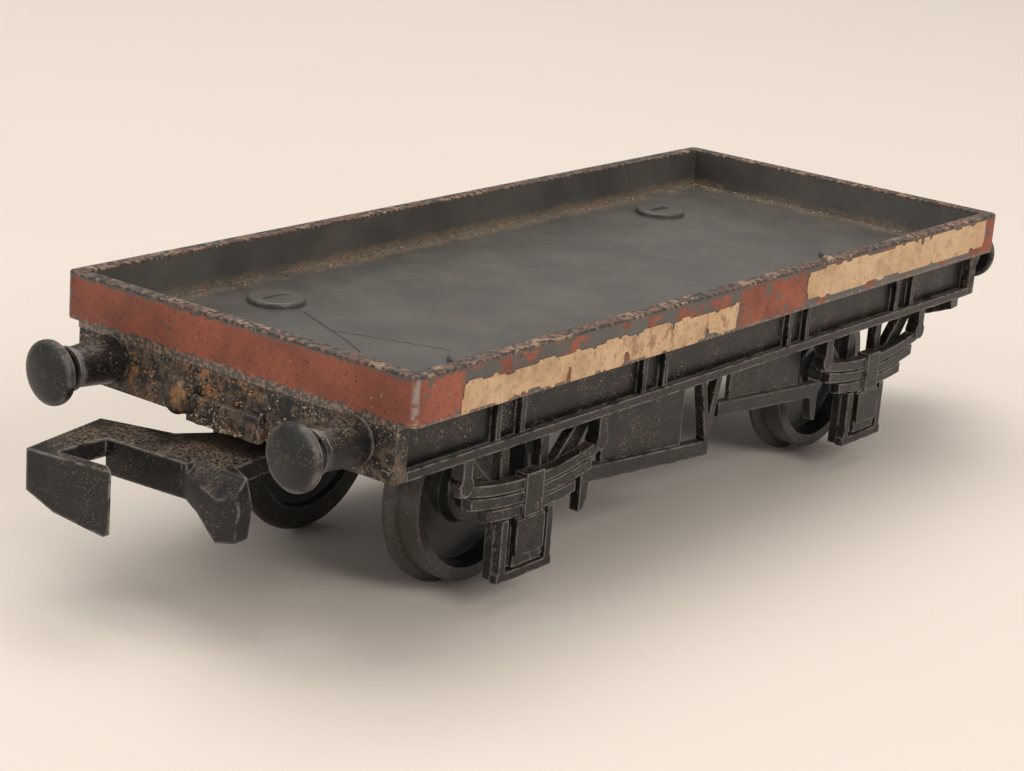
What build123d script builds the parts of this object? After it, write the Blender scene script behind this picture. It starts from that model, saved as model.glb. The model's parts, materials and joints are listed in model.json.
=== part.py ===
"""Four-wheel low-sided open wagon for 16.5 mm gauge model railway track.

Frame: X along the wagon, Y across it, +Z up.  The origin is on the centre line at the lowest
point of the wheel flanges, so the rail top is one flange depth above it.  Both ends are the same
under half a turn about Z, and so are both sides.
"""
import os
from math import radians, sqrt, tan

from build123d import *

# ---- Driving dimensions, mm ----------------------------------------------------------------
# Wheels and axles
track_gauge = 16.5
wheelbase = 50.0
tread_diameter = 14.3
flange_depth = 0.75
flange_thickness = 0.75
wheel_width = 3.0
rim_depth = 1.1
web_thickness = 0.9
web_dish = 1.6
hub_diameter = 5.2
hub_recess = 0.35
hub_nose_diameter = 3.4
gauge_play = 0.5
axle_diameter = 1.8
axle_point_angle = 30.0
axle_tip_spread = 27.0
bearing_end_play = 0.1

# Body
body_length = 84.1
body_width = 34.4
board_height = 3.65
board_thickness = 1.2
body_corner_radius = 0.7
rim_round = 0.15
floor_above_board_foot = 0.2
floor_edge_thickness = 0.7
floor_height_over_rail = 17.6

# Underframe
frame_width = 31.5
headstock_thickness = 1.3
headstock_height = 3.9
solebar_web_thickness = 0.8
guard_thickness = 0.9
solebar_flange_thickness = 0.5
solebar_flange_reach = 1.65
flange_bead_width = 0.35
flange_bead_height = 0.25
rib_thickness = 0.55
rib_reach = 0.55
rib_pair_gap = 2.9
inner_rib_station = 10.65
outer_rib_station = 28.9
weight_thickness = 1.5
weight_length = 62.0
weight_width = 16.0
weight_corner = 1.0
pan_thickness = 1.0
wheel_slot_clearance = 0.7

# Axleguards, axleboxes and springs
guard_foot_width = 6.2
guard_foot_bottom = 2.6
guard_leg_top_reach = 10.0
guard_leg_width = 1.6
guard_post_offset = 2.4
guard_post_width = 1.0
bearing_boss_diameter = 3.6
bearing_boss_height = 1.0
box_bottom = 3.6
guard_foot_top = 8.2
box_depth = 0.45
horn_width = 0.7
horn_depth = 0.75
box_core_width = 3.4
box_core_depth = 0.8
cover_width = 3.4
cover_height = 2.9
cover_thickness = 0.25
cover_bottom = 4.45
keeper_height = 0.7
keeper_width = 6.6
spring_half_span = 8.2
spring_camber = 1.0
spring_seat_height = 10.5
leaf_thickness = 0.85
leaf_pitch = 1.0
leaf_half_lengths = (8.2, 7.3, 5.4)
leaf_width = 0.95
spring_back_width = 0.55
buckle_width = 2.1
buckle_width_proud = 0.2
buckle_top_proud = 0.35
hanger_width = 1.0
eye_diameter = 1.5

# Brake gear
brake_plate_thickness = 0.5
brake_rod_height = 1.3
rod_slope = 0.086
low_rod_centre = 6.95
high_rod_centre = 10.1
rod_outer_reach = 16.9
plate_outer_reach = 14.6
plate_inner_gap = 3.4
shoe_width = 1.3
shoe_drop = 2.2
vee_half_width = 2.1
vee_leg_width = 0.75
vee_apex_height = 8.0
vee_stub_bottom = 6.35

# Ends
buffer_spread = 24.0
buffer_height_over_rail = 15.4
buffer_projection = 6.7
buffer_base_diameter = 3.7
buffer_nose_diameter = 3.0
buffer_collar_diameter = 3.4
buffer_collar_length = 0.4
buffer_housing_length = 4.2
buffer_neck_diameter = 1.8
buffer_head_diameter = 4.9
buffer_head_edge = 0.5
buffer_head_crown = 0.45
pad_width = 7.2
pad_height = 2.0
pad_projection = 0.6
pad_bottom = 13.6
hook_offset = 4.2
hook_width = 2.3
hook_height = 2.9
hook_projection = 1.4
hook_bottom = 14.0

# Coupling
coupling_top_over_rail = 11.5
coupling_plate_thickness = 1.4
coupling_pivot_inset = 8.0
coupling_pivot_diameter = 1.6
coupling_pivot_clearance = 0.05
coupling_gap = 0.1
coupling_boss_diameter = 4.4
rivet_head_diameter = 3.2
rivet_head_height = 0.6
tail_radius = 2.6
neck_half_width = 2.6
bar_wall = 1.0
bar_wall_depth = 2.7
claw_wall_depth = 4.9
tooth_depth = 4.7

# Load floor fittings and label
plug_station = 26.5
plug_offset = 10.2
plug_diameter = 4.6
plug_height = 0.45
plug_slot_width = 0.8
plug_slot_length = 2.6
plug_stem_diameter = 2.0
label_thickness = 0.1
label_heights = {"long": 2.5, "short": 2.8}
label_rises = {"long": 0.0, "short": 0.6}
label_spans = {"long": (-37.2, -2.3), "short": (8.1, 39.7)}

# ---- Derived sizes -------------------------------------------------------------------------
rail_top = flange_depth
tread_radius = tread_diameter / 2
flange_radius = tread_radius + flange_depth
axle_height = flange_radius
axle_x = wheelbase / 2
half_length = body_length / 2
half_width = body_width / 2
half_frame = frame_width / 2

floor_top = floor_height_over_rail + rail_top
board_foot = floor_top - floor_above_board_foot
frame_top = floor_top - floor_edge_thickness
frame_bottom = frame_top - headstock_height
inner_length = body_length - 2 * headstock_thickness
web_inner = half_frame - solebar_flange_reach
web_outer = web_inner + solebar_web_thickness
pan_top = frame_top - weight_thickness
pan_bottom = pan_top - pan_thickness
guard_outer = web_inner
guard_inner = guard_outer - guard_thickness

flange_outer_face = track_gauge / 2 - gauge_play
wheel_back = flange_outer_face - flange_thickness
wheel_face = wheel_back + wheel_width
axle_radius = axle_diameter / 2
axle_tip = axle_tip_spread / 2

coupling_top = coupling_top_over_rail + rail_top
coupling_bottom = coupling_top - coupling_plate_thickness
pivot_x = half_length - coupling_pivot_inset

ENDS = {"front": -1, "rear": 1}
SIDES = {"right": -1, "left": 1}

pieces = []


def keep(part, name):
    """Label a finished piece and put it on the list to be written."""
    part.label = name
    pieces.append(part)


def side_plane(side, x=0.0, y=0.0, z=0.0):
    """Plane facing out of one side: its Y is up, and its X turns with the side."""
    return Plane(origin=(x, side * y, z), x_dir=(-side, 0, 0), z_dir=(0, side, 0))


def end_plane(end, x=0.0, y=0.0, z=0.0):
    """Plane facing out of one end: its Y is up, and its X turns with the end."""
    return Plane(origin=(end * x, end * y, z), x_dir=(0, end, 0), z_dir=(end, 0, 0))


def plan_plane(end, x=0.0, z=0.0):
    """Level plane whose X points out of one end."""
    return Plane(origin=(end * x, 0, z), x_dir=(end, 0, 0), z_dir=(0, 0, 1))


# ---- Body ----------------------------------------------------------------------------------
# One low board all round, with a floor that drops a step inside the frame it sits on.
with BuildPart() as body_tray:
    with BuildSketch(Plane.XY.offset(board_foot)):
        RectangleRounded(body_length, body_width, body_corner_radius)
    extrude(amount=board_height)
    with BuildSketch(Plane.XY.offset(floor_top)):
        Rectangle(body_length - 2 * board_thickness, body_width - 2 * board_thickness)
    extrude(amount=board_height, mode=Mode.SUBTRACT)
    fillet(body_tray.faces().sort_by(Axis.Z)[-1].edges(), radius=rim_round)
    with BuildSketch(Plane.XY.offset(frame_top)):
        Rectangle(body_length, frame_width)
    extrude(amount=board_foot - frame_top)
    # The plugs come up through round holes in the floor.
    with BuildSketch(Plane.XY.offset(frame_top)):
        with GridLocations(2 * plug_station, 2 * plug_offset, 2, 2):
            Circle(plug_diameter / 2)
    extrude(amount=floor_edge_thickness, mode=Mode.SUBTRACT)
keep(body_tray.part, "body_tray")

# Steel plate between the floor and the pan, which keeps the light wagon on the rails.
with BuildPart() as ballast_weight:
    with BuildSketch(Plane.XY.offset(pan_top)):
        Rectangle(weight_length, weight_width)
    extrude(amount=weight_thickness)
    fillet(ballast_weight.edges().filter_by(Axis.Z), radius=weight_corner)
keep(ballast_weight.part, "ballast_weight")

# Four plugs stand on the pan, fill holes in the floor and rise a little above it.
for end_name, end in ENDS.items():
    for side_name, side in SIDES.items():
        with BuildPart() as floor_plug:
            plug_centre = (end * plug_station, side * plug_offset)
            with BuildSketch(Plane.XY.offset(frame_top)):
                with Locations(plug_centre):
                    Circle(plug_diameter / 2)
            extrude(amount=floor_edge_thickness + plug_height)
            chamfer(floor_plug.faces().sort_by(Axis.Z)[-1].edges(), plug_height / 3)
            with BuildSketch(Plane.XY.offset(floor_top + plug_height)):
                with Locations(plug_centre):
                    Rectangle(plug_slot_length, plug_slot_width)
            extrude(amount=-plug_height / 2, mode=Mode.SUBTRACT)
            with BuildSketch(Plane.XY.offset(pan_top)):
                with Locations(plug_centre):
                    Circle(plug_stem_diameter / 2)
            extrude(amount=frame_top - pan_top)
        keep(floor_plug.part, f"floor_plug_{end_name}_{side_name}")

# Paper strips stuck along both side boards, torn away at the middle and at the ends.
for name, side in SIDES.items():
    for label_name, (start, stop) in label_spans.items():
        with BuildPart() as paper_label:
            with BuildSketch(side_plane(side, y=half_width)):
                with Locations((start, board_foot + label_rises[label_name])):
                    label_size = (stop - start, label_heights[label_name])
                    Rectangle(*label_size, align=(Align.MIN, Align.MIN))
            extrude(amount=label_thickness)
        keep(paper_label.part, f"paper_label_{label_name}_{name}")

# ---- Underframe ----------------------------------------------------------------------------
# Level pan with a slot over each wheel and a round boss over each coupling.
slot_rise = pan_bottom - axle_height
slot_half_length = sqrt(flange_radius**2 - slot_rise**2) + wheel_slot_clearance
slot_inner = wheel_back - wheel_slot_clearance
slot_outer = wheel_face + wheel_slot_clearance
with BuildPart() as underframe_pan:
    with BuildSketch(Plane.XY.offset(pan_bottom)):
        Rectangle(inner_length, 2 * web_inner)
        slot_centre = (slot_inner + slot_outer) / 2
        with GridLocations(wheelbase, 2 * slot_centre, 2, 2):
            Rectangle(2 * slot_half_length, slot_outer - slot_inner, mode=Mode.SUBTRACT)
    extrude(amount=pan_thickness)
    with BuildSketch(Plane.XY.offset(coupling_top + coupling_gap)):
        with GridLocations(2 * pivot_x, 1, 2, 1):
            Circle(coupling_boss_diameter / 2)
    extrude(amount=pan_bottom - coupling_top - coupling_gap)
    with BuildSketch(Plane.XY.offset(coupling_top + coupling_gap)):
        with GridLocations(2 * pivot_x, 1, 2, 1):
            Circle(coupling_pivot_diameter / 2)
    extrude(amount=pan_top - coupling_top - coupling_gap, mode=Mode.SUBTRACT)
keep(underframe_pan.part, "underframe_pan")

# Channel solebars: upright web, wide bottom flange with a raised bead, and paired ribs.
rib_stations = [
    sign * station + half
    for sign in (-1, 1)
    for station in (inner_rib_station, outer_rib_station)
    for half in (-rib_pair_gap / 2, rib_pair_gap / 2)
]
for name, side in SIDES.items():
    with BuildPart() as solebar:
        with BuildSketch(side_plane(side, y=web_inner)):
            with Locations((0, frame_bottom)):
                Rectangle(inner_length, frame_top - frame_bottom, align=(Align.CENTER, Align.MIN))
        extrude(amount=solebar_web_thickness)
        with BuildSketch(side_plane(side, y=web_inner)):
            with Locations((0, frame_bottom)):
                Rectangle(inner_length, solebar_flange_thickness, align=(Align.CENTER, Align.MIN))
        extrude(amount=solebar_flange_reach)
        with BuildSketch(side_plane(side, y=half_frame)):
            with Locations((0, frame_bottom)):
                bead_height = solebar_flange_thickness + flange_bead_height
                Rectangle(inner_length, bead_height, align=(Align.CENTER, Align.MIN))
        extrude(amount=-flange_bead_width)
        with BuildSketch(side_plane(side, y=web_outer)):
            with Locations(*[(station, frame_bottom) for station in rib_stations]):
                Rectangle(rib_thickness, frame_top - frame_bottom, align=(Align.CENTER, Align.MIN))
        extrude(amount=rib_reach)
    keep(solebar.part, f"solebar_{name}")

for name, end in ENDS.items():
    with BuildPart() as headstock:
        with BuildSketch(end_plane(end, x=half_length)):
            with Locations((0, frame_bottom)):
                Rectangle(frame_width, frame_top - frame_bottom, align=(Align.CENTER, Align.MIN))
        extrude(amount=-headstock_thickness)
        chamfer(headstock.edges().filter_by(Axis.Z).sort_by(Axis.X)[-2 if end > 0 else 0], rim_round)
    keep(headstock.part, f"headstock_{name}")

# ---- Axleguards, axleboxes and springs -----------------------------------------------------
for end_name, end in ENDS.items():
    for side_name, side in SIDES.items():
        corner = f"{end_name}_{side_name}"

        # W-shaped guard: two slanting legs, two upright posts and a foot that holds the axle.
        with BuildPart() as axleguard:
            guard_plane = side_plane(side, x=end * axle_x, y=guard_inner)
            with BuildSketch(guard_plane):
                foot_half = guard_foot_width / 2
                with Locations((0, guard_foot_bottom)):
                    foot_height = guard_foot_top - guard_foot_bottom
                    Rectangle(guard_foot_width, foot_height, align=(Align.CENTER, Align.MIN))
                with Locations((-guard_post_offset, guard_foot_top), (guard_post_offset, guard_foot_top)):
                    Rectangle(guard_post_width, pan_bottom - guard_foot_top, align=(Align.CENTER, Align.MIN))
                for hand in (-1, 1):
                    with BuildLine():
                        Polyline(
                            (hand * guard_leg_top_reach, pan_bottom),
                            (hand * (guard_leg_top_reach - guard_leg_width), pan_bottom),
                            (hand * (foot_half - guard_leg_width), guard_foot_top),
                            (hand * (foot_half - guard_leg_width), axle_height - leaf_pitch),
                            (hand * foot_half, axle_height - leaf_pitch),
                            close=True,
                        )
                    make_face()
            extrude(amount=guard_thickness)
            with BuildSketch(guard_plane):
                with Locations((0, axle_height)):
                    Circle(bearing_boss_diameter / 2)
            extrude(amount=-bearing_boss_height)
            # Cone that the axle's point turns in, deeper than the point by its end play.
            boss_face = guard_inner - bearing_boss_height
            cone_depth = axle_tip + bearing_end_play - boss_face
            cone_mouth = (end * axle_x, side * boss_face, axle_height)
            with BuildSketch(Plane(origin=cone_mouth, x_dir=(0, side, 0), z_dir=(side, 0, 0))):
                with BuildLine():
                    mouth_radius = cone_depth * tan(radians(axle_point_angle))
                    Polyline((0, 0), (cone_depth, 0), (0, mouth_radius), close=True)
                make_face()
            revolve(axis=Axis(cone_mouth, (0, 1, 0)), mode=Mode.SUBTRACT)
        keep(axleguard.part, f"axleguard_{corner}")

        # Axlebox front: backing block between two horns, with a square cover and a keeper bar.
        with BuildPart() as axlebox:
            box_plane = side_plane(side, x=end * axle_x, y=guard_outer)
            with BuildSketch(box_plane):
                with Locations((0, box_bottom)):
                    box_height = spring_seat_height - len(leaf_half_lengths) * leaf_pitch - box_bottom
                    Rectangle(guard_foot_width, box_height, align=(Align.CENTER, Align.MIN))
            extrude(amount=box_depth)
            with BuildSketch(box_plane):
                horn_centre = (guard_foot_width - horn_width) / 2
                with Locations((-horn_centre, guard_foot_bottom), (horn_centre, guard_foot_bottom)):
                    horn_height = box_bottom + box_height - guard_foot_bottom
                    Rectangle(horn_width, horn_height, align=(Align.CENTER, Align.MIN))
            extrude(amount=horn_depth)
            with BuildSketch(box_plane):
                with Locations((0, box_bottom)):
                    Rectangle(box_core_width, box_height, align=(Align.CENTER, Align.MIN))
            extrude(amount=box_core_depth)
            with BuildSketch(side_plane(side, x=end * axle_x, y=guard_outer + box_core_depth)):
                with Locations((0, cover_bottom + cover_height / 2)):
                    RectangleRounded(cover_width, cover_height, cover_thickness)
            extrude(amount=cover_thickness)
            with BuildSketch(box_plane):
                with Locations((0, guard_foot_bottom)):
                    Rectangle(keeper_width, keeper_height, align=(Align.CENTER, Align.MIN))
            extrude(amount=horn_depth)
        keep(axlebox.part, f"axlebox_{corner}")

        # Leaf spring: leaves on one set of rings, a buckle round them and a hanger at each end.
        spring_radius = (spring_half_span**2 + spring_camber**2) / (2 * spring_camber)
        ring_centre = spring_seat_height + spring_radius
        with BuildPart() as leaf_spring:
            spring_plane = side_plane(side, x=end * axle_x, y=guard_outer)

            for layer, reach in enumerate(leaf_half_lengths):
                upper = spring_radius + layer * leaf_pitch
                # The leaf itself, and a narrower back that closes the pack up to the next leaf.
                for depth, width in ((leaf_thickness, leaf_width), (leaf_pitch, spring_back_width)):
                    lower = upper + depth
                    top_rise = ring_centre - sqrt(upper**2 - reach**2)
                    foot_rise = ring_centre - sqrt(lower**2 - reach**2)
                    with BuildSketch(spring_plane):
                        with BuildLine():
                            ThreePointArc((-reach, top_rise), (0, ring_centre - upper), (reach, top_rise))
                            Line((reach, top_rise), (reach, foot_rise))
                            ThreePointArc((reach, foot_rise), (0, ring_centre - lower), (-reach, foot_rise))
                            Line((-reach, foot_rise), (-reach, top_rise))
                        make_face()
                    extrude(amount=width)
            with BuildSketch(spring_plane):
                buckle_foot = spring_seat_height - len(leaf_half_lengths) * leaf_pitch
                with Locations((0, buckle_foot)):
                    buckle_height = spring_seat_height + buckle_top_proud - buckle_foot
                    Rectangle(buckle_width, buckle_height, align=(Align.CENTER, Align.MIN))
            extrude(amount=leaf_width + buckle_width_proud)
            with BuildSketch(spring_plane):
                eye_rise = spring_seat_height + spring_camber
                with Locations((-spring_half_span, eye_rise), (spring_half_span, eye_rise)):
                    Circle(eye_diameter / 2)
                    Rectangle(hanger_width, frame_bottom - eye_rise, align=(Align.CENTER, Align.MIN))
            extrude(amount=leaf_width + buckle_width_proud)
        keep(leaf_spring.part, f"leaf_spring_{corner}")

# ---- Brake gear ----------------------------------------------------------------------------
# Each side has a low rod towards one end and a high rod towards the other, so both slope the
# same way, as rods worked from the two sides of one cross shaft do.
brake_rods = {
    "low": (-rod_outer_reach, -vee_leg_width / 2, low_rod_centre),
    "high": (rod_outer_reach, vee_half_width - vee_leg_width, high_rod_centre),
}
for name, side in SIDES.items():
    for rod_name, (outer, inner, centre) in brake_rods.items():
        hand = 1 if outer > 0 else -1
        gear_plane = side_plane(side, y=guard_inner)
        half_rod = brake_rod_height / 2
        outer_rise = centre - rod_slope * outer
        inner_rise = centre - rod_slope * inner
        with BuildPart() as brake_gear:
            with BuildSketch(gear_plane):
                with BuildLine():
                    Polyline(
                        (outer, outer_rise - half_rod),
                        (inner, inner_rise - half_rod),
                        (inner, inner_rise + half_rod),
                        (outer, outer_rise + half_rod),
                        close=True,
                    )
                make_face()
                # Shoe hanging at the rod's outer end.
                shoe_top = outer_rise + half_rod
                rod_foot = shoe_top - brake_rod_height
                with BuildLine():
                    Polyline(
                        (outer + hand * shoe_width / 2, shoe_top),
                        (outer - hand * shoe_width / 2, shoe_top),
                        (outer - hand * shoe_width / 4, rod_foot - shoe_drop / 2),
                        (outer + hand * shoe_width / 8, rod_foot - shoe_drop),
                        (outer + hand * shoe_width / 2, rod_foot - shoe_drop),
                        (outer + hand * shoe_width / 2, rod_foot),
                        close=True,
                    )
                make_face()
            extrude(amount=guard_thickness)
            # Thin plate that joins the rod to the pan.
            plate_outer = hand * plate_outer_reach
            plate_inner = hand * plate_inner_gap
            with BuildSketch(gear_plane):
                with BuildLine():
                    Polyline(
                        (plate_outer, centre - rod_slope * plate_outer),
                        (plate_inner, centre - rod_slope * plate_inner),
                        (plate_inner, pan_bottom),
                        (plate_outer, pan_bottom),
                        close=True,
                    )
                make_face()
            extrude(amount=brake_plate_thickness)
        keep(brake_gear.part, f"brake_gear_{rod_name}_{name}")

    # V hanger that carries the brake shaft's end below the pan.
    with BuildPart() as vee_hanger:
        with BuildSketch(side_plane(side, y=guard_inner)):
            for hand in (-1, 1):
                with BuildLine():
                    Polyline(
                        (hand * vee_half_width, pan_bottom),
                        (hand * (vee_half_width - vee_leg_width), pan_bottom),
                        (-hand * vee_leg_width / 2, vee_apex_height),
                        (hand * vee_leg_width / 2, vee_apex_height),
                        close=True,
                    )
                make_face()
            with Locations((0, vee_stub_bottom)):
                stub_height = vee_apex_height - vee_stub_bottom
                Rectangle(vee_leg_width, stub_height, align=(Align.CENTER, Align.MIN))
        extrude(amount=guard_thickness)
    keep(vee_hanger.part, f"vee_hanger_{name}")

# ---- Buffers and drawhooks -----------------------------------------------------------------
buffer_height = buffer_height_over_rail + rail_top
head_back = buffer_projection - buffer_head_crown - buffer_head_edge
for end_name, end in ENDS.items():
    for side_name, side in SIDES.items():
        with BuildPart() as buffer:
            axis_plane = end_plane(end, x=half_length, y=end * side * buffer_spread / 2, z=buffer_height)
            head_radius = buffer_head_diameter / 2
            # The sketch plane holds the buffer's axis: its X is outwards and its Y is up.
            with BuildSketch(Plane(axis_plane.origin, x_dir=(end, 0, 0), z_dir=(0, -end, 0))):
                with BuildLine():
                    Polyline(
                        (head_back + buffer_head_edge, head_radius),
                        (head_back, head_radius),
                        (head_back, buffer_neck_diameter / 2),
                        (buffer_housing_length + buffer_collar_length, buffer_neck_diameter / 2),
                        (buffer_housing_length + buffer_collar_length, buffer_collar_diameter / 2),
                        (buffer_housing_length, buffer_collar_diameter / 2),
                        (buffer_housing_length, buffer_nose_diameter / 2),
                        (0, buffer_base_diameter / 2),
                        (0, 0),
                        (buffer_projection, 0),
                    )
                    crown_radius = (head_radius**2 + buffer_head_crown**2) / (2 * buffer_head_crown)
                    RadiusArc(
                        (buffer_projection, 0),
                        (head_back + buffer_head_edge, head_radius),
                        -crown_radius,
                    )
                make_face()
            revolve(axis=Axis(axis_plane.origin, (end, 0, 0)))
        keep(buffer.part, f"buffer_{end_name}_{side_name}")

    # Pad on the headstock with the stub of the drawhook beside it.
    with BuildPart() as drawhook:
        with BuildSketch(end_plane(end, x=half_length)):
            with Locations((0, pad_bottom)):
                Rectangle(pad_width, pad_height, align=(Align.CENTER, Align.MIN))
        extrude(amount=pad_projection)
        with BuildSketch(end_plane(end, x=half_length)):
            with Locations((-hook_offset, hook_bottom + hook_height / 2)):
                SlotOverall(hook_height, hook_width, rotation=90)
        extrude(amount=hook_projection)
        fillet(drawhook.faces().sort_by(Axis.X)[-1 if end > 0 else 0].edges(), radius=hook_width / 5)
    keep(drawhook.part, f"drawhook_{end_name}")

# ---- Couplings -----------------------------------------------------------------------------
# A flat arm on an upright pivot: a claw that reaches forward and across on one side, and a
# downward tooth on the other.  Distances out are from the pivot; distances across are from the
# centre line, and the claw is on the minus side.
claw_root = (10.2, -10.7)
claw_tip = (18.8, -9.0)
lip_outer = (17.8, -1.4)
lip_inner = (17.0, -2.6)
claw_pocket = (17.6, -7.1)
bar_corner = (13.0, -7.1)
bar_end = (12.4, 0.5)
tooth_root = (11.3, 5.3)
tooth_nose = (13.2, 4.2)
neck_outer = (10.4, 3.3)
neck_claw_side = (8.4, -4.8)
# The tooth's outline seen from the end: distance across, and depth below the coupling's top.
tooth_outline = ((0.5, 0), (0.5, 2.7), (1.9, 3.2), (4.3, 4.7), (5.6, 4.5), (5.9, 2.0), (5.3, 0))
tooth_top_fall = 1.5
tooth_side_fall = 0.8
# The foot of the claw's front wall, seen the same way.
claw_foot = ((-9.6, 2.9), (-9.0, 3.1), (-6.5, 4.2), (-3.4, 4.7), (-2.0, 4.9), (-1.5, 4.6), (-1.3, 4.0))
for name, end in ENDS.items():
    with BuildPart() as coupling:
        # Level plate: tail, neck, cross bar and claw.
        with BuildSketch(plan_plane(end, x=pivot_x, z=coupling_bottom)):
            with BuildLine():
                Polyline(
                    (0, -neck_half_width),
                    (tail_radius + neck_half_width, -neck_half_width),
                    neck_claw_side,
                    claw_root,
                    claw_tip,
                    lip_outer,
                    lip_inner,
                    claw_pocket,
                    bar_corner,
                    bar_end,
                    tooth_root,
                    neck_outer,
                    (tail_radius + neck_half_width, neck_half_width),
                    (0, neck_half_width),
                    close=True,
                )
            make_face()
            Circle(tail_radius)
        extrude(amount=coupling_plate_thickness)
        # Wall below the cross bar, facing the claw.
        with BuildSketch(plan_plane(end, x=pivot_x, z=coupling_top)):
            with BuildLine():
                Polyline(
                    bar_corner,
                    bar_end,
                    (bar_end[0] - bar_wall, bar_end[1]),
                    (bar_corner[0] - bar_wall, bar_corner[1]),
                    close=True,
                )
            make_face()
        extrude(amount=-bar_wall_depth)
        # Wall below the claw: across its front and back along its outer edge.
        with BuildSketch(plan_plane(end, x=pivot_x, z=coupling_top)):
            with BuildLine():
                Polyline(
                    claw_tip,
                    lip_outer,
                    lip_inner,
                    claw_pocket,
                    (claw_tip[0] - 2 * bar_wall, claw_tip[1] + bar_wall),
                    (claw_tip[0] - 2 * bar_wall, claw_tip[1] - bar_wall / 3),
                    close=True,
                )
            make_face()
        extrude(amount=-claw_wall_depth)
        with BuildSketch(end_plane(end, x=pivot_x + claw_tip[0])):
            with BuildLine():
                Polyline(
                    *[(end_across, coupling_top - depth) for end_across, depth in claw_foot],
                    (0, coupling_top - claw_foot[-1][1]),
                    (0, coupling_bottom - claw_wall_depth),
                    (2 * claw_tip[1], coupling_bottom - claw_wall_depth),
                    (2 * claw_tip[1], coupling_top - claw_foot[0][1]),
                    close=True,
                )
            make_face()
        extrude(amount=-4 * bar_wall, mode=Mode.SUBTRACT)
        # Tooth: a downward fang whose top and front fall away from one ridge.
        with BuildSketch(end_plane(end, x=pivot_x + tooth_nose[0])):
            with BuildLine():
                Polyline(*[(across, coupling_top - depth) for across, depth in tooth_outline], close=True)
            make_face()
        extrude(amount=tooth_root[0] - tooth_nose[0])
        with BuildSketch(plan_plane(end, x=pivot_x, z=coupling_top)):
            with BuildLine():
                Polyline((bar_end[0], 0), bar_end, tooth_nose, (tooth_nose[0], 0), close=True)
            make_face()
            with BuildLine():
                tooth_edge = tooth_outline[4][0]
                Polyline(
                    tooth_nose,
                    (tooth_nose[0] - tooth_side_fall, tooth_edge + tooth_side_fall),
                    (tooth_nose[0], tooth_edge + tooth_side_fall),
                    close=True,
                )
            make_face()
        extrude(amount=-tooth_depth, mode=Mode.SUBTRACT)
        with BuildSketch(Plane(origin=(0, end * bar_end[1], 0), x_dir=(end, 0, 0), z_dir=(0, end, 0))):
            with BuildLine():
                Polyline(
                    (pivot_x + tooth_root[0], -coupling_top),
                    (pivot_x + tooth_nose[0], -coupling_top),
                    (pivot_x + tooth_nose[0], tooth_top_fall - coupling_top),
                    close=True,
                )
            make_face()
        extrude(amount=2 * tooth_edge, mode=Mode.SUBTRACT)
        with BuildSketch(plan_plane(end, x=pivot_x, z=coupling_top)):
            Circle(coupling_pivot_diameter / 2 + coupling_pivot_clearance)
        extrude(amount=-coupling_plate_thickness, mode=Mode.SUBTRACT)
    keep(coupling.part, f"coupling_{name}")

    # Pivot rivet, gripped by the pan's boss, with its head under the coupling.
    with BuildPart() as coupling_rivet:
        with BuildSketch(plan_plane(end, x=pivot_x, z=coupling_bottom - coupling_gap)):
            Circle(coupling_pivot_diameter / 2)
        extrude(amount=pan_top - coupling_bottom + coupling_gap)
        with BuildSketch(plan_plane(end, x=pivot_x, z=coupling_bottom - coupling_gap)):
            Circle(rivet_head_diameter / 2)
        extrude(amount=-rivet_head_height)
        fillet(coupling_rivet.faces().sort_by(Axis.Z)[0].edges(), radius=rivet_head_height / 2)
    keep(coupling_rivet.part, f"coupling_rivet_{name}")

# ---- Wheels and axles ----------------------------------------------------------------------
point_length = axle_radius / tan(radians(axle_point_angle))
for end_name, end in ENDS.items():
    # Steel axle with a point at each end.
    with BuildPart() as axle:
        with BuildSketch(Plane(origin=(end * axle_x, 0, axle_height), x_dir=(0, 1, 0), z_dir=(1, 0, 0))):
            with BuildLine():
                Polyline(
                    (-axle_tip, 0),
                    (point_length - axle_tip, axle_radius),
                    (axle_tip - point_length, axle_radius),
                    (axle_tip, 0),
                    close=True,
                )
            make_face()
        revolve(axis=Axis((end * axle_x, 0, axle_height), (0, 1, 0)))
    keep(axle.part, f"axle_{end_name}")

    for side_name, side in SIDES.items():
        # Plain disc wheel: flanged tyre, dished web and a stepped hub bored for the axle.
        with BuildPart() as wheel:
            profile_plane = Plane(
                origin=(end * axle_x, 0, axle_height), x_dir=(0, side, 0), z_dir=(side, 0, 0)
            )
            web_face = wheel_face - web_dish
            with BuildSketch(profile_plane):
                with BuildLine():
                    Polyline(
                        (wheel_back, axle_radius),
                        (wheel_back, flange_radius - flange_depth / 3),
                        (wheel_back + flange_thickness * 0.3, flange_radius),
                        (wheel_back + flange_thickness * 0.7, flange_radius),
                        (flange_outer_face, tread_radius + flange_depth / 5),
                        (flange_outer_face + flange_depth / 4, tread_radius),
                        (wheel_face - rim_round, tread_radius),
                        (wheel_face, tread_radius - rim_round),
                        (wheel_face, tread_radius - rim_depth),
                        (web_face, tread_radius - rim_depth - web_dish / 5),
                        (web_face, hub_diameter / 2 + web_dish / 6),
                        (wheel_face - hub_recess * 2, hub_diameter / 2),
                        (wheel_face - hub_recess * 2, hub_nose_diameter / 2),
                        (wheel_face - hub_recess, hub_nose_diameter / 2),
                        (wheel_face - hub_recess, axle_radius),
                        close=True,
                    )
                make_face()
            revolve(axis=Axis((end * axle_x, 0, axle_height), (0, 1, 0)))
            # The back is hollowed to leave a web of even thickness.
            with BuildSketch(profile_plane):
                with BuildLine():
                    web_back = web_face - web_thickness
                    Polyline(
                        (wheel_back, hub_diameter / 2),
                        (wheel_back, tread_radius - rim_depth),
                        (web_back, tread_radius - rim_depth - web_dish / 5),
                        (web_back, hub_diameter / 2 + web_dish / 6),
                        close=True,
                    )
                make_face()
            revolve(axis=Axis((end * axle_x, 0, axle_height), (0, 1, 0)), mode=Mode.SUBTRACT)
        keep(wheel.part, f"wheel_{end_name}_{side_name}")

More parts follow.
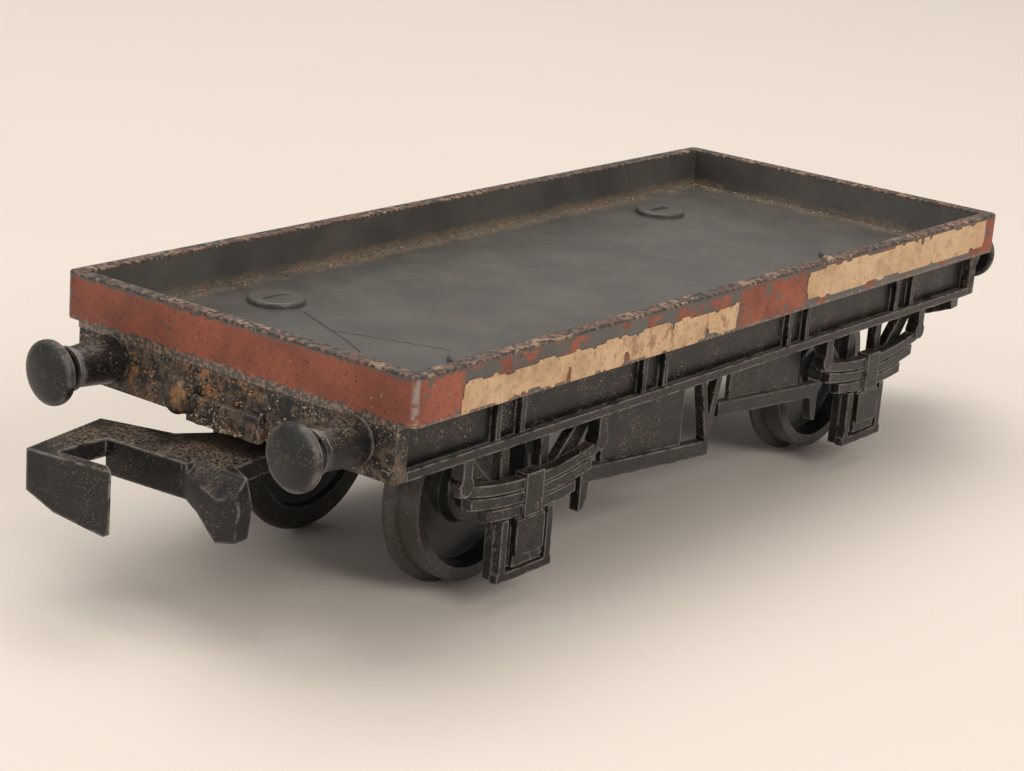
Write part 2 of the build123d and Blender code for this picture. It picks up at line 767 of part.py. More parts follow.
# ---- Write one STEP file for each piece ----------------------------------------------------
os.makedirs("parts", exist_ok=True)
for piece in pieces:
    export_step(piece, f"parts/{piece.label}.step")
print(f"{len(pieces)} pieces written")
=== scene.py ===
# %% [markdown]
# # A weathered model railway wagon
# The wagon is about as long as a finger: a shallow tray of moulded plastic on a black underframe,
# with couplers, buffers, leaf springs and two wheelsets.  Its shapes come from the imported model,
# so this lesson is about what makes such a small thing look real: softened moulding edges, dust,
# chipped paint and torn paper.

# %% Load the fixed frame
import json
from math import pi, radians
from random import Random

import bpy
from mathutils import Matrix, Vector, noise


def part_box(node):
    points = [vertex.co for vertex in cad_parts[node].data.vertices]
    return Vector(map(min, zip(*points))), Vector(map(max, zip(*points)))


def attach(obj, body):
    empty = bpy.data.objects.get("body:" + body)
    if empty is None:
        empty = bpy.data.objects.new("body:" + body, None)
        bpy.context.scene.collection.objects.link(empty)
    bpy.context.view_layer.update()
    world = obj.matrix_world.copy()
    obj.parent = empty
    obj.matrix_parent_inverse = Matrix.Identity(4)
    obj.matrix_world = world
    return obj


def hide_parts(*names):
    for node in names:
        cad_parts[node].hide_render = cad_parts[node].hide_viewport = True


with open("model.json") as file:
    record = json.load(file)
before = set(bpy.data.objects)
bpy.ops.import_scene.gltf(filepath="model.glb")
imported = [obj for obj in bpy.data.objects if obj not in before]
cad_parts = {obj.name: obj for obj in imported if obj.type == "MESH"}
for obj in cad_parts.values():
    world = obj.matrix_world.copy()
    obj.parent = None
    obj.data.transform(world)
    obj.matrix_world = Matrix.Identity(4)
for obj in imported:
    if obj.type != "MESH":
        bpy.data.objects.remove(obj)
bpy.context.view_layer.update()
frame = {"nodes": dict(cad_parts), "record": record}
MM = 0.001
record = frame["record"]
slot_of = {row["node"]: row["material_slot"] for row in record["subparts"]}
body_of = {node: body for body, nodes in record["behaviour"]["bodies"].items() for node in nodes}

# %% [markdown]
# ## Measuring the boards
# Paint, dust and wear all follow the tray's edges, so its corners are read once from the frame.
# The floor is put 0.7 mm above the front headstock's top, and the wheel centres come from the axles.

# %% Read the tray, floor and axles
tray_low, tray_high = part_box("body_tray")
weight_low, weight_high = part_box("ballast_weight")
frame_low, frame_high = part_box("headstock_front")
half_length, half_width = tray_high[0], tray_high[1]
rim_height = tray_high[2]
board_foot = frame_high[2] + 0.5 * MM
board_thickness = 1.2 * MM
floor_height = frame_high[2] + 0.7 * MM
inner_half_length = half_length - board_thickness
inner_half_width = half_width - board_thickness
axle_places = {}
for end in ("front", "rear"):
    axle_low, axle_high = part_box(f"axle_{end}")
    axle_places[end] = Vector([(low + high) / 2 for low, high in zip(axle_low, axle_high)])
print("rim", round(rim_height / MM, 2), "floor", round(floor_height / MM, 2), "axles", axle_places)

# %% [markdown]
# ## A finish, one layer at a time
# Real weathering is a stack: plastic, then paint, then chips, then dust.  Each layer is a colour
# and a mask, and each mask is noise or a distance worked out from the piece's own coordinates, so
# it stays put when a piece moves.  This small class keeps each layer to one readable line.


# %% A helper that builds a material's nodes
class Finish:
    def __init__(self, name, roughness, metallic=0.0):
        self.material = bpy.data.materials.new(name)
        self.material.use_nodes = True
        self.tree = self.material.node_tree
        self.shader = self.tree.nodes["Principled BSDF"]
        self.shader.inputs["Roughness"].default_value = roughness
        self.shader.inputs["Metallic"].default_value = metallic
        coordinates = self.tree.nodes.new("ShaderNodeTexCoord")
        self.place = coordinates.outputs["Object"]
        self.x, self.y, self.z = self.split(self.place)
        self.facing_up = self.split(coordinates.outputs["Normal"])[2]

    def feed(self, socket, value):
        if isinstance(value, bpy.types.NodeSocket):
            self.tree.links.new(value, socket)
        else:
            socket.default_value = value

    def split(self, vector):
        node = self.tree.nodes.new("ShaderNodeSeparateXYZ")
        self.feed(node.inputs[0], vector)
        return node.outputs[0], node.outputs[1], node.outputs[2]

    def math(self, operation, first, second=0.0):
        node = self.tree.nodes.new("ShaderNodeMath")
        node.operation = operation
        self.feed(node.inputs[0], first)
        self.feed(node.inputs[1], second)
        return node.outputs[0]

    def vector(self, operation, first, second=(0, 0, 0)):
        node = self.tree.nodes.new("ShaderNodeVectorMath")
        node.operation = operation
        self.feed(node.inputs[0], first)
        self.feed(node.inputs[1], second)
        return node.outputs["Value"] if operation in ("LENGTH", "DISTANCE", "DOT_PRODUCT") else node.outputs[0]

    def blotches(self, size, detail=4.0, stretch=(1, 1, 1)):
        """Noise whose lumps are about size metres across."""
        node = self.tree.nodes.new("ShaderNodeTexNoise")
        where = self.vector("MULTIPLY", self.place, stretch) if stretch != (1, 1, 1) else self.place
        self.feed(node.inputs["Vector"], where)
        node.inputs["Scale"].default_value = 1 / size
        node.inputs["Detail"].default_value = detail
        node.inputs["Roughness"].default_value = 0.6
        return node.outputs[0]

    def above(self, value, low, high):
        """0 below low, 1 above high, and a soft step between."""
        node = self.tree.nodes.new("ShaderNodeMapRange")
        node.interpolation_type = "SMOOTHSTEP"
        self.feed(node.inputs["Value"], value)
        node.inputs["From Min"].default_value = low
        node.inputs["From Max"].default_value = high
        return node.outputs[0]

    def below(self, value, low, high):
        return self.math("SUBTRACT", 1.0, self.above(value, low, high))

    def both(self, *masks):
        result = masks[0]
        for mask in masks[1:]:
            result = self.math("MULTIPLY", result, mask)
        return result

    def either(self, first, second):
        return self.math("MAXIMUM", first, second)

    def over(self, mask, lower, upper):
        """Colour upper laid over colour lower where mask is 1."""
        node = self.tree.nodes.new("ShaderNodeMix")
        node.data_type = "RGBA"
        self.feed(node.inputs[0], mask)
        self.feed(node.inputs[6], lower)
        self.feed(node.inputs[7], upper)
        return node.outputs[2]

    def ragged(self, value, wobble, size, detail=5.0):
        """A value pushed about by noise, so that a straight limit becomes a torn one."""
        offset = self.math("MULTIPLY", self.math("SUBTRACT", self.blotches(size, detail), 0.5), wobble)
        return self.math("ADD", value, offset)

    def bump(self, height, depth):
        node = self.tree.nodes.new("ShaderNodeBump")
        node.inputs["Distance"].default_value = depth
        node.inputs["Strength"].default_value = 1.0
        self.feed(node.inputs["Height"], height)
        self.feed(self.shader.inputs["Normal"], node.outputs[0])

    def edges(self, width):
        """1 along the sharp edges of a piece, fading out within width."""
        rounded = self.tree.nodes.new("ShaderNodeBevel")
        rounded.samples = 4
        rounded.inputs["Radius"].default_value = width
        surface = self.tree.nodes.new("ShaderNodeNewGeometry")
        alike = self.vector("DOT_PRODUCT", rounded.outputs[0], surface.outputs["Normal"])
        return self.below(alike, 0.82, 0.985)

    def done(self, colour, roughness=None):
        self.feed(self.shader.inputs["Base Color"], colour)
        if roughness is not None:
            self.feed(self.shader.inputs["Roughness"], roughness)
        return self.material


# %% [markdown]
# ## Dust on black plastic
# The underframe is one black moulding.  Fine beige dust sits all over it as specks, and settles
# into a thin felt on whatever faces up.  A plain black would look flat: the specks give the eye
# the true scale of the thing.  Edges are painted pale, partly as wear and partly as a painted highlight.
# A Bevel node rounds the surface direction near an edge, so where it differs from the plain direction there is
# an edge to paint.

# %% Colours shared by the weathered pieces
black_plastic = (0.007, 0.0068, 0.0065, 1)
# Pale grey for edges and corners: partly scuffing, partly a painted highlight where light catches them.
scuff_and_highlight_grey = (0.30, 0.285, 0.26, 1)
pale_dust = (0.38, 0.29, 0.20, 1)
brown_dust = (0.135, 0.095, 0.063, 1)
rust_orange = (0.36, 0.155, 0.045, 1)
oxide_red = (0.30, 0.085, 0.045, 1)
dark_red = (0.185, 0.055, 0.033, 1)
bare_tan = (0.34, 0.215, 0.145, 1)
cream_paper = (0.56, 0.36, 0.20, 1)


# %% Dust layers
def dust_layers(finish, colour, felt, specks):
    """Lays brown felt on upward faces and beige specks everywhere; returns colour and dust mask."""
    up = finish.above(finish.facing_up, 0.35, 0.95)
    patches = finish.above(finish.blotches(5 * MM), 0.36, 0.62)
    grain = finish.above(finish.blotches(0.28 * MM, 4), 0.42, 0.56)
    felt_mask = finish.math("MULTIPLY", finish.both(up, patches, grain), felt)
    settled = finish.over(felt_mask, colour, brown_dust)
    fine = finish.above(finish.blotches(0.15 * MM, 3), 0.575, 0.63)
    thin_patches = finish.above(finish.blotches(2.2 * MM, 5), 0.42, 0.62)
    upward_bias = finish.math("ADD", finish.math("MULTIPLY", up, 0.5), 0.5)
    speck_mask = finish.math("MULTIPLY", finish.both(fine, thin_patches, upward_bias), specks)
    return finish.over(speck_mask, settled, pale_dust), finish.either(felt_mask, speck_mask)


def dusty_plastic(name, felt, specks, gloss, scrape_and_highlight_spread):
    finish = Finish(name, gloss)
    finish.shader.inputs["Specular IOR Level"].default_value = 0.32
    mottle = finish.above(finish.blotches(2.5 * MM), 0.3, 0.75)
    plastic = finish.over(mottle, black_plastic, (0.014, 0.0135, 0.013, 1))
    colour, dust = dust_layers(finish, plastic, felt, specks)
    # Pale grey along the edges: partly wear, partly a painted edge highlight.
    scrape_and_highlight_mask = finish.both(finish.edges(scrape_and_highlight_spread), finish.above(finish.blotches(1.2 * MM, 5), 0.36, 0.56))
    colour = finish.over(finish.math("MULTIPLY", scrape_and_highlight_mask, 0.85), colour, scuff_and_highlight_grey)
    rough = finish.math("ADD", finish.math("MULTIPLY", dust, 0.4), gloss)
    finish.bump(finish.blotches(0.18 * MM, 3), 0.02 * MM)
    return finish.done(colour, rough)


underframe_finish = dusty_plastic("underframe_dusty_plastic", 0.85, 1.0, 0.36, 0.30 * MM)
coupler_finish = dusty_plastic("coupler_dusty_plastic", 1.0, 0.6, 0.38, 0.36 * MM)
spring_finish = dusty_plastic("spring_dusty_plastic", 0.75, 1.0, 0.32, 0.26 * MM)
buffer_finish = dusty_plastic("buffer_dusty_plastic", 0.75, 0.7, 0.34, 0.80 * MM)

# %% [markdown]
# ## Worn edges with painted highlight
# Handling rubs the corners of a moulding first, and they turn pale grey; here the pale grey is also a painted
# highlight for the light that catches each edge.  The bevel modifier can put its new faces into a second
# material, which is exactly where that wear and highlight belong, so the edge is a finish of its own, broken up
# by noise so that no edge is an even line.


# %% Finish for the rubbed edges and their painted highlight
def scrape_and_highlight_edge(name, scrape_and_highlight_spread):
    finish = Finish(name, 0.42)
    # The pale grey on the bevel faces is partly rubbing, partly a painted highlight.
    rubbed = finish.above(finish.blotches(1.2 * MM, 5), 0.62 - 0.24 * scrape_and_highlight_spread, 0.70 - 0.2 * scrape_and_highlight_spread)
    colour = finish.over(rubbed, (0.03, 0.028, 0.026, 1), scuff_and_highlight_grey)
    colour, dust = dust_layers(finish, colour, 0.3, 0.7)
    return finish.done(colour)


scrape_and_highlight_moulding = scrape_and_highlight_edge("scrape_and_highlight_moulding_edge", 0.75)
scrape_and_highlight_corner = scrape_and_highlight_edge("scrape_and_highlight_corner_edge", 1.3)

# %% [markdown]
# ## The headstock's rust stain
# A metal load once rusted on this end.  Orange and brown have run into the dust on the beam under
# the front board, more towards its far end, so this finish is the dusty plastic with two stains
# over it, masked by where they are on the beam.


# %% Stained beam finish
def stained_beam():
    finish = Finish("headstock_stained_plastic", 0.6)
    colour, dust = dust_layers(finish, black_plastic, 0.9, 1.0)
    crust = finish.above(finish.blotches(0.8 * MM, 6), 0.46, 0.60)
    colour = finish.over(finish.math("MULTIPLY", crust, 0.8), colour, (0.115, 0.075, 0.048, 1))
    crumbs = finish.above(finish.blotches(0.22 * MM, 4), 0.54, 0.61)
    heaps = finish.above(finish.blotches(3 * MM, 4), 0.44, 0.62)
    colour = finish.over(finish.math("MULTIPLY", finish.both(crumbs, heaps), 0.85), colour, pale_dust)
    middle = finish.both(finish.above(finish.y, -6 * MM, -1 * MM), finish.below(finish.y, 9 * MM, 13 * MM))
    run = finish.above(finish.blotches(1.5 * MM, 6), 0.50, 0.66)
    rust = finish.over(finish.above(finish.blotches(0.35 * MM, 4), 0.45, 0.6), rust_orange, brown_dust)
    colour = finish.over(finish.math("MULTIPLY", finish.both(middle, run), 0.85), colour, rust)
    # Pale grey along the edges: partly wear, partly a painted edge highlight.
    scrape_and_highlight_mask = finish.both(finish.edges(0.2 * MM), finish.above(finish.blotches(1.1 * MM, 5), 0.42, 0.56))
    colour = finish.over(finish.math("MULTIPLY", scrape_and_highlight_mask, 0.8), colour, scuff_and_highlight_grey)
    finish.bump(finish.blotches(0.25 * MM, 5), 0.09 * MM)
    return finish.done(colour)


headstock_finish = stained_beam()

# %% [markdown]
# ## The tray: plastic inside, oxide red outside
# The tray is black plastic.  Only the outside was painted, in oxide red, and the paint has chipped
# off along the foot and the rim and rubbed thin under the labels.  Distances to the tray's own
# faces pick out the outside, the rim and the foot, and each limit is made ragged by noise.


# %% Tray finish
def scratch_line(finish, start, stop, width):
    """1 along a straight scratch on the floor, 0 elsewhere."""
    along = Vector(stop) - Vector(start)
    from_start = finish.vector("SUBTRACT", finish.place, start)
    share = finish.math("DIVIDE", finish.vector("DOT_PRODUCT", from_start, tuple(along)), along.length_squared)
    share = finish.math("MINIMUM", finish.math("MAXIMUM", share, 0.0), 1.0)
    scaled = finish.tree.nodes.new("ShaderNodeVectorMath")
    scaled.operation = "SCALE"
    scaled.inputs[0].default_value = tuple(along)
    finish.feed(scaled.inputs["Scale"], share)
    distance = finish.vector("DISTANCE", from_start, scaled.outputs[0])
    return finish.below(finish.ragged(distance, width, 0.6 * MM), width * 0.4, width)


def tray_paint():
    finish = Finish("tray_painted_plastic", 0.36)
    out_x = finish.math("ABSOLUTE", finish.x)
    out_y = finish.math("ABSOLUTE", finish.y)
    skin = 0.45 * MM
    outer_end = finish.above(out_x, half_length - skin, half_length - 0.6 * skin)
    outer_side = finish.above(out_y, half_width - skin, half_width - 0.6 * skin)
    outside = finish.either(outer_end, outer_side)
    in_end = finish.below(out_x, inner_half_length + 0.05 * MM, inner_half_length + 0.15 * MM)
    in_side = finish.below(out_y, inner_half_width + 0.05 * MM, inner_half_width + 0.15 * MM)
    inside = finish.both(in_end, in_side)

    # Bare plastic, a little uneven, with dust blown into the corners of the floor.
    uneven = finish.above(finish.blotches(6 * MM), 0.3, 0.8)
    colour = finish.over(uneven, (0.060, 0.056, 0.050, 1), (0.095, 0.088, 0.078, 1))
    to_end = finish.math("SUBTRACT", inner_half_length, out_x)
    to_side = finish.math("SUBTRACT", inner_half_width, out_y)
    to_wall = finish.math("MINIMUM", to_end, to_side)
    drift_on_floor = finish.below(finish.ragged(to_wall, 2.4 * MM, 2.5 * MM, 6), 0.3 * MM, 2.0 * MM)
    drift_top = floor_height + 0.9 * MM
    low_down = finish.below(finish.ragged(finish.z, 1.2 * MM, 2 * MM), floor_height + 0.1 * MM, drift_top)
    drift_grain = finish.above(finish.blotches(0.25 * MM, 4), 0.32, 0.58)
    drift_patches = finish.above(finish.blotches(7 * MM, 4), 0.30, 0.55)
    drift = finish.both(inside, drift_on_floor, low_down, drift_grain, drift_patches)
    film = finish.both(inside, finish.above(finish.blotches(9 * MM, 5), 0.42, 0.7))
    colour = finish.over(finish.math("MULTIPLY", film, 0.05), colour, pale_dust)
    colour = finish.over(finish.math("MULTIPLY", drift, 0.8), colour, (0.24, 0.17, 0.11, 1))
    specks = finish.above(finish.blotches(0.18 * MM, 3), 0.63, 0.68)
    speck_patches = finish.above(finish.blotches(4 * MM, 4), 0.44, 0.64)
    colour = finish.over(finish.math("MULTIPLY", finish.both(specks, speck_patches), 0.5), colour, pale_dust)

    # Scratches across the near part of the floor.
    level = floor_height
    scratches = (
        ((-27.0 * MM, 6.8 * MM, level), (-30.1 * MM, -0.3 * MM, level)),
        ((-30.1 * MM, -0.3 * MM, level), (-31.6 * MM, -3.1 * MM, level)),
        ((-29.1 * MM, 2.2 * MM, level), (-25.8 * MM, -6.9 * MM, level)),
    )
    for start, stop in scratches:
        line = finish.math("MULTIPLY", scratch_line(finish, start, stop, 0.16 * MM), 0.85)
        colour = finish.over(line, colour, black_plastic)

    # Paint on the outside, lost along the foot and the rim and in chips.
    chip_noise = finish.blotches(1.3 * MM, 6)
    foot_line = board_foot + 0.15 * MM
    kept_foot = finish.above(finish.ragged(finish.z, 1.3 * MM, 0.9 * MM, 6), foot_line, foot_line + 0.12 * MM)
    head_line = rim_height - 0.42 * MM
    kept_head = finish.below(finish.ragged(finish.z, 0.9 * MM, 0.7 * MM, 6), head_line, head_line + 0.12 * MM)
    kept_end = finish.above(chip_noise, 0.32, 0.37)
    rubbed_middle = finish.above(finish.blotches(2.4 * MM, 6), 0.50, 0.56)
    from_gap = finish.math("ABSOLUTE", finish.math("SUBTRACT", finish.x, 3 * MM))
    near_label_gap = finish.below(from_gap, 4 * MM, 6 * MM)
    near_corner = finish.above(out_x, 36.5 * MM, 37.5 * MM)
    kept_side = finish.either(finish.either(near_label_gap, near_corner), rubbed_middle)
    kept_side = finish.both(kept_side, finish.above(chip_noise, 0.38, 0.44))
    side_only = finish.both(outer_side, finish.below(out_x, half_length - skin, half_length - 0.5 * skin))
    kept = finish.over(side_only, kept_end, kept_side)
    painted = finish.both(outside, kept, kept_foot, kept_head)
    red = finish.over(finish.above(finish.blotches(4 * MM, 5), 0.35, 0.7), oxide_red, dark_red)
    red = finish.over(finish.above(finish.blotches(0.3 * MM, 4), 0.60, 0.68), red, (0.06, 0.026, 0.018, 1))
    pale_chips = finish.above(finish.blotches(0.45 * MM, 4), 0.665, 0.70)
    red = finish.over(finish.math("MULTIPLY", pale_chips, 0.8), red, bare_tan)
    colour = finish.over(painted, colour, red)
    # Pale grey up the vertical outer corners: partly scuffing, partly a painted highlight along the rounded
    # corner.
    corner_x = finish.above(out_x, half_length - 0.55 * MM, half_length - 0.25 * MM)
    corner_y = finish.above(out_y, half_width - 0.55 * MM, half_width - 0.25 * MM)
    corner_scuff_and_highlight = finish.both(corner_x, corner_y, finish.above(finish.blotches(0.5 * MM, 5), 0.36, 0.54))
    colour = finish.over(finish.math("MULTIPLY", corner_scuff_and_highlight, 0.75), colour, scuff_and_highlight_grey)
    crust_height = finish.ragged(finish.z, 0.8 * MM, 0.5 * MM)
    foot_crust = finish.both(outside, finish.below(crust_height, board_foot, board_foot + 0.4 * MM))
    foot_crust = finish.both(foot_crust, finish.above(finish.blotches(0.35 * MM, 4), 0.46, 0.58))
    colour = finish.over(finish.math("MULTIPLY", foot_crust, 0.7), colour, bare_tan)

    # The rim: rubbed to bare tan with black and red left in it.
    rim = finish.above(finish.z, rim_height - 0.30 * MM, rim_height - 0.12 * MM)
    rim_wear = finish.above(finish.blotches(0.4 * MM, 5), 0.44, 0.60)
    rim_runs = finish.above(finish.blotches(3 * MM, 4), 0.38, 0.60)
    rim_red = finish.above(finish.blotches(1.6 * MM, 5), 0.48, 0.58)
    rim_colour = finish.over(rim_red, (0.030, 0.026, 0.023, 1), (0.075, 0.034, 0.024, 1))
    rim_mask = finish.math("MULTIPLY", finish.both(rim_wear, finish.either(rim_runs, 0.4)), 0.85)
    rim_colour = finish.over(rim_mask, rim_colour, bare_tan)
    colour = finish.over(rim, colour, rim_colour)

    matt = finish.either(painted, finish.either(drift, rim))
    rough = finish.math("ADD", finish.math("MULTIPLY", matt, 0.36), 0.28)
    patchy = finish.math("MULTIPLY", finish.blotches(3 * MM, 4), 0.12)
    height = finish.math("ADD", finish.math("MULTIPLY", painted, 0.6), finish.blotches(0.5 * MM, 4))
    finish.bump(finish.math("ADD", height, finish.math("MULTIPLY", drift, 0.5)), 0.035 * MM)
    return finish.done(colour, finish.math("ADD", rough, patchy))


tray_finish = tray_paint()

# %% [markdown]
# ## Torn paper
# Two paper strips were stuck along each side.  What is left is cream, stained brown in patches,
# worst on the older end of the long strip, and rougher than anything round it.  The stains are
# noise, stretched a little upright, laid on in three sizes.


# %% Paper finish
def aged_paper(name, stain):
    finish = Finish(name, 0.85)
    streak = finish.blotches(1.3 * MM, 6, (1.3, 1.0, 0.8))
    fleck = finish.above(finish.blotches(0.35 * MM, 5), 0.54, 0.66)
    colour = finish.over(finish.above(finish.blotches(5 * MM), 0.3, 0.7), cream_paper, (0.63, 0.43, 0.26, 1))
    stained = finish.above(streak, 0.62 - 0.14 * stain, 0.76 - 0.14 * stain)
    old_end = finish.math("MULTIPLY", finish.above(finish.x, -27 * MM, -12 * MM), 0.75)
    stained = finish.both(stained, finish.math("ADD", old_end, 0.25))
    colour = finish.over(finish.math("MULTIPLY", stained, 0.75), colour, (0.23, 0.095, 0.05, 1))
    colour = finish.over(finish.math("MULTIPLY", fleck, 0.40 + 0.2 * stain), colour, (0.24, 0.135, 0.075, 1))
    grubby = finish.above(finish.blotches(1.8 * MM, 6), 0.46, 0.66)
    colour = finish.over(finish.math("MULTIPLY", grubby, 0.35), colour, (0.26, 0.15, 0.09, 1))
    finish.bump(finish.blotches(0.45 * MM, 6), 0.16 * MM)
    return finish.done(colour)


long_paper = aged_paper("label_paper_torn", 0.7)
short_paper = aged_paper("label_paper_smooth", 0.1)

# %% [markdown]
# ## Wheels and steel
# The wheels are glossier than the rest, and each tread has picked up a dull band of rail dirt.
# The distance from the axle's own centre line tells tread from disc, and it turns with the wheel.
# The axles, rivets and weight are plain steel with fine drawn lines.


# %% Wheel and steel finishes
def wheel_plastic(end):
    finish = Finish(f"wheel_plastic_{end}", 0.24)
    centre = axle_places[end]
    from_axle = finish.vector("MULTIPLY", finish.vector("SUBTRACT", finish.place, tuple(centre)), (1, 0, 1))
    radius = finish.vector("LENGTH", from_axle)
    out_y = finish.math("ABSOLUTE", finish.y)
    tread = finish.above(finish.ragged(radius, 0.4 * MM, 1 * MM), 6.85 * MM, 7.05 * MM)
    grime = finish.above(finish.blotches(0.8 * MM, 6), 0.36, 0.60)
    colour = finish.over(finish.both(tread, grime), (0.032, 0.031, 0.029, 1), (0.034, 0.028, 0.023, 1))
    near_rim = finish.above(radius, 5.6 * MM, 6.2 * MM)
    rim_dust = finish.both(near_rim, finish.above(finish.blotches(0.3 * MM, 4), 0.54, 0.62))
    colour = finish.over(finish.math("MULTIPLY", rim_dust, 0.35), colour, brown_dust)
    specks = finish.above(finish.blotches(0.2 * MM, 2), 0.70, 0.75)
    colour = finish.over(finish.math("MULTIPLY", specks, 0.6), colour, pale_dust)
    hub_end = finish.both(finish.below(radius, 0.8 * MM, 0.95 * MM), finish.above(out_y, 9 * MM, 9.4 * MM))
    colour = finish.over(hub_end, colour, (0.10, 0.09, 0.08, 1))
    finish.bump(finish.blotches(0.5 * MM, 4), 0.02 * MM)
    dulled = finish.math("MULTIPLY", finish.both(tread, grime), 0.15)
    return finish.done(colour, finish.math("ADD", dulled, 0.24))


def drawn_steel():
    finish = Finish("drawn_steel", 0.34, metallic=1.0)
    lines = finish.blotches(0.5 * MM, 4, (6.0, 0.4, 6.0))
    colour = finish.over(finish.above(lines, 0.3, 0.7), (0.36, 0.35, 0.33, 1), (0.56, 0.54, 0.51, 1))
    tarnish = finish.above(finish.blotches(2 * MM, 5), 0.52, 0.68)
    colour = finish.over(finish.math("MULTIPLY", tarnish, 0.5), colour, (0.20, 0.15, 0.11, 1))
    finish.bump(lines, 0.01 * MM)
    return finish.done(colour)


wheel_finishes = {end: wheel_plastic(end) for end in axle_places}
steel_finish = drawn_steel()
print("finishes", len(bpy.data.materials))

# %% [markdown]
# ## Softening the mouldings
# No moulded edge is sharp, and at this size the tiny round is what catches the light.  Each CAD
# piece is copied, its loose triangles are merged and joined into flat faces, and a narrow bevel is
# applied.  Weighted normals then keep the large faces flat, or a bevel would shade right across
# the tray's floor.  The copy stands for the CAD piece and rides on the same body, so nothing
# changes size.


# %% A helper that softens one CAD piece
def select_only(piece):
    bpy.ops.object.select_all(action="DESELECT")
    piece.select_set(True)
    bpy.context.view_layer.objects.active = piece


def apply_modifier(piece, kind, **settings):
    select_only(piece)
    modifier = piece.modifiers.new(kind.lower(), kind)
    for name, value in settings.items():
        setattr(modifier, name, value)
    bpy.ops.object.modifier_apply(modifier=modifier.name)


def finish_piece(piece, body, slot, *materials):
    piece.data.materials.clear()
    for material in materials:
        piece.data.materials.append(material)
    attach(piece, body)
    return piece


def soften(node, width, finish, edge=None, sharper_than=34):
    mesh = frame["nodes"][node].data.copy()
    piece = bpy.data.objects.new(f"soft_{node}", mesh)
    bpy.context.scene.collection.objects.link(piece)
    select_only(piece)
    bpy.ops.object.mode_set(mode="EDIT")
    bpy.ops.mesh.select_all(action="SELECT")
    bpy.ops.mesh.remove_doubles(threshold=0.002 * MM)
    bpy.ops.mesh.dissolve_limited(angle_limit=radians(0.8))
    bpy.ops.object.mode_set(mode="OBJECT")
    mesh.materials.clear()
    mesh.materials.append(finish)
    mesh.materials.append(edge or finish)
    apply_modifier(
        piece, "BEVEL", width=width, segments=2, limit_method="ANGLE", angle_limit=radians(sharper_than),
        material=1, use_clamp_overlap=True, harden_normals=False,
    )
    select_only(piece)
    bpy.ops.object.shade_smooth_by_angle(angle=radians(32))
    apply_modifier(piece, "WEIGHTED_NORMAL", weight=80, keep_sharp=True)
    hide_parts(node)
    return finish_piece(piece, body_of[node], slot_of[node], finish, edge or finish)


# %% Soften every visible moulding
# Each kind's second finish goes on its bevel faces: scrapes with a painted highlight.
underframe_kinds = {
    "solebar": (0.15 * MM, underframe_finish, scrape_and_highlight_corner),
    "headstock": (0.14 * MM, headstock_finish, scrape_and_highlight_moulding),
    "axleguard": (0.08 * MM, underframe_finish, scrape_and_highlight_moulding),
    "axlebox": (0.11 * MM, spring_finish, scrape_and_highlight_corner),
    "leaf_spring": (0.11 * MM, spring_finish, scrape_and_highlight_corner),
    "brake_gear": (0.11 * MM, underframe_finish, scrape_and_highlight_moulding),
    "vee_hanger": (0.11 * MM, underframe_finish, scrape_and_highlight_moulding),
    "buffer": (0.16 * MM, buffer_finish, scrape_and_highlight_corner),
    "drawhook": (0.12 * MM, headstock_finish, scrape_and_highlight_moulding),
    "underframe_pan": (0.10 * MM, underframe_finish, scrape_and_highlight_moulding),
    "floor_plug": (0.09 * MM, tray_finish, scrape_and_highlight_corner),
    "coupling_rivet": (0.06 * MM, steel_finish, steel_finish),
    "coupling_": (0.20 * MM, coupler_finish, scrape_and_highlight_corner),
    "axle_": (0.04 * MM, steel_finish, steel_finish),
    "ballast_weight": (0.10 * MM, steel_finish, steel_finish),
}
softened = {}
for node in sorted(slot_of):
    for kind, (width, finish, edge) in underframe_kinds.items():
        if node.startswith(kind):
            softened[node] = soften(node, width, finish, edge)
            break
for end, finish in wheel_finishes.items():
    for side in ("left", "right"):
        softened[f"wheel_{end}_{side}"] = soften(f"wheel_{end}_{side}", 0.07 * MM, finish)
softened["body_tray"] = soften("body_tray", 0.13 * MM, tray_finish, tray_finish, sharper_than=50)
print("softened", len(softened), "of", len(slot_of))

# %% [markdown]
# ## Tearing the labels
# A strip of paper starts as a fine grid stood up against the board.  Squares are picked by noise
# and deleted, most of them near the edges, which leaves the ragged outline of torn paper.  The
# border is smoothed a little, and the sheet gets its thickness last.


